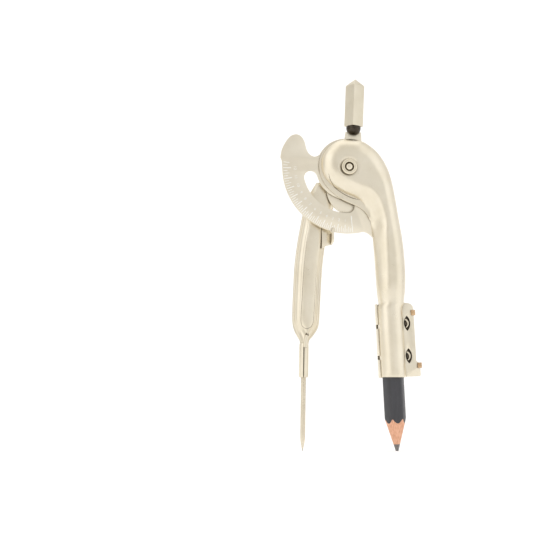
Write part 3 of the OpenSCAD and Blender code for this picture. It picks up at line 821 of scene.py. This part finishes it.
pin_line = [(0.0, -5.72), (0.5, -5.69), (0.92, -5.58), (1.18, -5.4), (1.31, -5.1), (1.33, -4.7)]
pin_line += [(1.65, -4.6), (1.65, 3.9), (1.15, 4.0), (1.1, 4.3), (0.7, 4.5), (0.0, 4.56)]
pin = lathe("eyelet_pin", pin_line, along_pivot, 48, closed=False)
finish_piece(pin, "pencil_arm", NICKEL, ["pivot_pin"])

bracket = from_node("handle_bracket", "bracket_plate", 0.1)
finish_piece(bracket, "handle", SATIN, ["handle_bracket"])
knob = from_node("handle_knob", "knob_square", 0.32, 4, 25)
finish_piece(knob, "knob", KNOB, ["handle_knob"])
# The knob's stud is coloured near black as painted shade for the shadowed neck under the knob
new_material("knob_stud", PAINTED_SHADE_DARK)
for steel_node in (
    "knob_ring",
    "bearing_balls",
    "bearing_spring",
    "spring_seat",
    "thrust_washer",
    "tension_washer",
):
    new_material(steel_node, STEEL)


# Needle leg

# Down the leg: z, left edge, right edge, depth share, width of the flank on each side
NEEDLE_LEG = [
    (-5.0, -10.8, -3.0, 0.25, 0.6),
    (-10.0, -13.7, -3.4, 0.6, 1.3),
    (-16.0, -15.5, -4.8, 0.9, 1.9),
    (-22.0, -16.7, -6.6, 1.0, 2.1),
    (-28.0, -17.8, -7.3, 1.0, 2.1),
    (-36.0, -18.8, -8.3, 1.0, 2.15),
    (-45.0, -19.3, -8.9, 1.0, 2.15),
    (-52.0, -19.6, -9.3, 1.0, 2.15),
    (-56.5, -19.6, -9.6, 1.0, 2.3),
    (-59.2, -19.1, -10.3, 0.95, 3.0),
    (-61.5, -18.1, -12.0, 0.8, 2.85),
    (-63.4, -17.3, -13.7, 0.68, 1.75),
    (-66.0, -17.25, -14.15, 0.66, 1.55),
]
CHANNEL_H = 4.0
HEAD_R = 10.6
# Cross-section of one side: share of the flank's width, share of the depth behind the face
FLANK = [
    (0.0, 0.97),
    (0.14, 0.95),
    (0.24, 0.9),
    (0.31, 0.8),
    (0.38, 0.66),
    (0.48, 0.5),
    (0.62, 0.38),
    (0.78, 0.3),
    (0.94, 0.245),
    (1.0, 0.225),
    (1.05, 0.165),
]
RIB_CROWN = 0.165


def needle_leg_shell():
    side = smooth_line(FLANK, 3)
    bm = bmesh.new()
    grid = []
    for z, left, right, depth, flank in smooth_line(NEEDLE_LEG, 6):
        deep = max(0.1, CHANNEL_H * depth - SHEET)
        near = -1.2 * ease((-z - 59.5) / 4.5)
        line = [(left + u * flank * 1.1, v * deep) for u, v in side]
        far = [(right - u * flank * 0.9, v * deep) for u, v in reversed(side)]
        face_left, face_right = line[-1][0], far[0][0]
        rib = []
        for k in range(1, 16):
            t = k / 16
            crown = abs(2 * t - 1) ** 2.4
            rib.append((face_left + (face_right - face_left) * t, RIB_CROWN * deep * crown))
        section = line + rib + far
        grid.append([bm.verts.new(at_pivot(x, LEG_FRONT + y + near, z)) for x, y in section])
    for a, b in zip(grid, grid[1:]):
        for k in range(len(a) - 1):
            bm.faces.new((a[k], a[k + 1], b[k + 1], b[k]))
    return solid_sheet("needle_leg_shell", bm, SHEET)


needle_shell = finish_piece(needle_leg_shell(), "needle_arm", NICKEL, ["needle_leg"])
# Edge of the raised panel, down its left side, round the lower end and up its right side
RIDGE = [(-14.2, -24.0), (-15.6, -36.0), (-16.45, -48.0), (-16.85, -55.0), (-16.6, -57.6), (-15.6, -58.9)]
RIDGE += [(-14.4, -59.1), (-13.2, -58.5), (-12.4, -57.0), (-12.1, -54.5), (-11.7, -48.0), (-11.0, -36.0)]
# A painted shade line along the edge of the raised panel
finish_piece(drawn_line("panel_edge_shade", needle_shell, RIDGE, 0.16), "needle_arm", PAINTED_CREASE_SHADE)

head_hole = ring_points(EYELET_R + 0.05, 48)
head = prism("needle_leg_head", ring_points(HEAD_R, 96), LEG_FRONT, LEG_BACK, holes=[head_hole])
finish_piece(head, "needle_arm", NICKEL)

LIP_X = -5.4
LIP_HALF = 0.375
LIP_R = RING_OUT_R + 0.5
LIP_EDGE_Z = -math.sqrt(LIP_R**2 - LIP_X**2)
ear = prism(
    "pointer_ear",
    [
        (-9.0, LIP_EDGE_Z + 3.0),
        (LIP_X + LIP_HALF, LIP_EDGE_Z + 0.5),
        (LIP_X + LIP_HALF, -27.9),
        (LIP_X, -28.2),
        (-7.4, -28.5),
        (-8.1, -29.2),
        (-9.0, -29.6),
    ],
    LEG_FRONT,
    LEG_BACK,
)
finish_piece(ear, "needle_arm", NICKEL)


def pointer_lip():
    """Lip bent forward from the ear and up over the rim of the scale, drawn in the YZ plane."""
    front = ARC_FRONT - 0.3
    outline = [
        (LEG_BACK - 0.05, LIP_EDGE_Z - 0.02),
        (front, LIP_EDGE_Z - 0.02),
        (front, LIP_EDGE_Z + 1.7),
        (front - SHEET * 0.5, LIP_EDGE_Z + 1.68),
        (front - SHEET, LIP_EDGE_Z + 1.35),
        (front - SHEET, LIP_EDGE_Z - 2.6),
        (front - SHEET + 0.5, LIP_EDGE_Z - 3.3),
        (LEG_FRONT, -28.1),
        (LEG_BACK - 0.05, -28.1),
    ]
    bm = bmesh.new()
    left = [bm.verts.new(at_pivot(LIP_X - LIP_HALF, y, z)) for y, z in outline]
    right = [bm.verts.new(at_pivot(LIP_X + LIP_HALF, y, z)) for y, z in outline]
    bm.faces.new(left)
    bm.faces.new(list(reversed(right)))
    for k in range(len(outline)):
        j = (k + 1) % len(outline)
        bm.faces.new((left[k], left[j], right[j], right[k]))
    obj = to_object("pointer_lip", bm)
    round_edges(obj, 0.14, 2, 35)
    return obj


finish_piece(pointer_lip(), "needle_arm", NICKEL)


def socket():
    """Rolled needle socket: a tube with an open seam, drawn in slightly at its lower end."""
    outer, inner = 1.75, 0.97
    line = [
        (inner, 0.9 - SOCKET_LEN),
        (inner + 0.12, 0.12 - SOCKET_LEN),
        (inner + 0.3, -SOCKET_LEN),
        (outer - 0.3, 0.02 - SOCKET_LEN),
        (outer - 0.08, 0.25 - SOCKET_LEN),
        (outer, 0.7 - SOCKET_LEN),
        (outer, -2.2),
        (outer - 0.05, -1.0),
        (outer - 0.3, -0.4),
        (inner, -0.3),
    ]
    bm = bmesh.new()
    rows = []
    seam_at, seam_half, count = math.radians(-99), math.radians(5), 48
    for k in range(count + 1):
        a = seam_at + seam_half + (2 * math.pi - 2 * seam_half) * k / count
        rows.append([bm.verts.new(at_needle(r * math.cos(a), r * math.sin(a), z)) for r, z in line])
    for a, b in zip(rows, rows[1:]):
        for i in range(len(line)):
            j = (i + 1) % len(line)
            bm.faces.new((a[i], b[i], b[j], a[j]))
    bm.faces.new(rows[0])
    bm.faces.new(list(reversed(rows[-1])))
    obj = to_object("needle_socket", bm)
    round_edges(obj, 0.08, 2, 50)
    return obj


finish_piece(socket(), "needle_arm", NICKEL)
NEEDLE_R = 0.9
POINT_R = 0.09
POINT_LEN = 5.2


def needle():
    """Needle with a drawn point, from the height of the CAD needle's tip up into the socket."""
    low = (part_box("needle")[0].z - PIVOT.z) / MM + SOCKET_TOP
    low /= math.cos(NEEDLE_LEAN)
    shoulder = low + 0.12
    line = [(0.0, low), (POINT_R, shoulder)]
    for i in range(1, 11):
        swell = math.sin(math.pi / 2 * i / 10) ** 1.15
        line.append((POINT_R + (NEEDLE_R - POINT_R) * swell, shoulder + POINT_LEN * i / 10))
    line += [(NEEDLE_R, 0.5 - SOCKET_LEN), (NEEDLE_R, 11.0 - SOCKET_LEN), (0.0, 11.5 - SOCKET_LEN)]
    return lathe("needle_ground", line, at_needle, 40, closed=False)


finish_piece(needle(), "needle_arm", STEEL, ["needle"])


# Pencil

lacquer = from_node("pencil_barrel", "pencil_lacquer", 0.05, 2, 30)
finish_piece(lacquer, "pencil", PAINT, ["pencil_barrel"])
new_material("pencil_wood", WOOD)
new_material("pencil_lead", GRAPHITE)


# Floor, light and camera


def emitter(name, location, target, size, energy):
    light = bpy.data.lights.new(name, "AREA")
    light.shape = "RECTANGLE"
    light.size, light.size_y = size
    light.energy = energy
    obj = bpy.data.objects.new(name, light)
    scene.collection.objects.link(obj)
    obj.location = location
    obj.rotation_euler = (Vector(target) - Vector(location)).to_track_quat("-Z", "Y").to_euler()


def backdrop():
    """Pale floor that curves up into a wall behind the object."""
    bm = bmesh.new()
    line = [(-1.6, 0.0), (0.3, 0.0)]
    turns = [math.pi / 2 * i / 16 for i in range(1, 17)]
    line += [(0.3 + 0.5 * math.sin(a), 0.5 - 0.5 * math.cos(a)) for a in turns]
    line += [(0.8, 2.2)]
    rows = [[bm.verts.new((x, y, z)) for y, z in line] for x in (-1.8, 1.8)]
    for k in range(len(line) - 1):
        bm.faces.new((rows[0][k], rows[0][k + 1], rows[1][k + 1], rows[1][k]))
    obj = to_object("studio_backdrop", bm)
    mat, tree, shader = tree_of("backdrop_white")
    tone = ramp(tree, noise(tree, (0.002, 0.002, 0.002), 2.0), [(0.0, 0.955), (1.0, 0.965)])
    tree.links.new(tone, shader.inputs["Base Color"])
    shader.inputs["Roughness"].default_value = 0.9
    shader.inputs["Specular IOR Level"].default_value = 0.1
    shader.inputs["Emission Color"].default_value = (1.0, 1.0, 1.0, 1.0)
    shader.inputs["Emission Strength"].default_value = 0.14
    obj.data.materials.append(mat)
    shade(obj, 60)


def studio_world():
    """Pale surroundings with slow, cloudy changes for the metal to reflect."""
    world = bpy.data.worlds.new("studio")
    scene.world = world
    world.use_nodes = True
    sky = world.node_tree
    coord = sky.nodes.new("ShaderNodeTexCoord")
    cloud = sky.nodes.new("ShaderNodeTexNoise")
    cloud.inputs["Scale"].default_value = 1.3
    cloud.inputs["Detail"].default_value = 1.0
    sky.links.new(coord.outputs["Generated"], cloud.inputs["Vector"])
    tone = ramp(sky, cloud.outputs["Fac"], [(0.36, (0.80, 0.775, 0.735)), (0.6, (1.0, 1.0, 1.0))])
    sky.links.new(tone, sky.nodes["Background"].inputs["Color"])
    sky.nodes["Background"].inputs["Strength"].default_value = 0.86


def studio_camera():
    yaw, pitch = math.radians(8.22), math.radians(6.01)
    camera = bpy.data.cameras.new("camera")
    camera.sensor_width = 36.0
    camera.lens = 82.9
    camera.clip_start = 0.01
    camera.clip_end = 20.0
    holder = bpy.data.objects.new("camera", camera)
    scene.collection.objects.link(holder)
    holder.location = (-0.09497, -0.44030, 0.020)
    look = Vector((math.sin(yaw) * math.cos(pitch), math.cos(yaw) * math.cos(pitch), math.sin(pitch)))
    holder.rotation_euler = look.to_track_quat("-Z", "Y").to_euler()
    scene.camera = holder


backdrop()
studio_world()
emitter("key_left", (-0.75, -0.55, 0.55), (0, 0, 0.07), (0.8, 1.5), 2.0)
emitter("fill_right", (0.8, -0.35, 0.35), (0, 0, 0.07), (1.0, 1.6), 1.4)
emitter("top", (0.0, 0.0, 1.1), (0, 0, 0), (0.9, 0.9), 1.5)
studio_camera()
scene.view_settings.view_transform = "Standard"
scene.view_settings.look = "None"
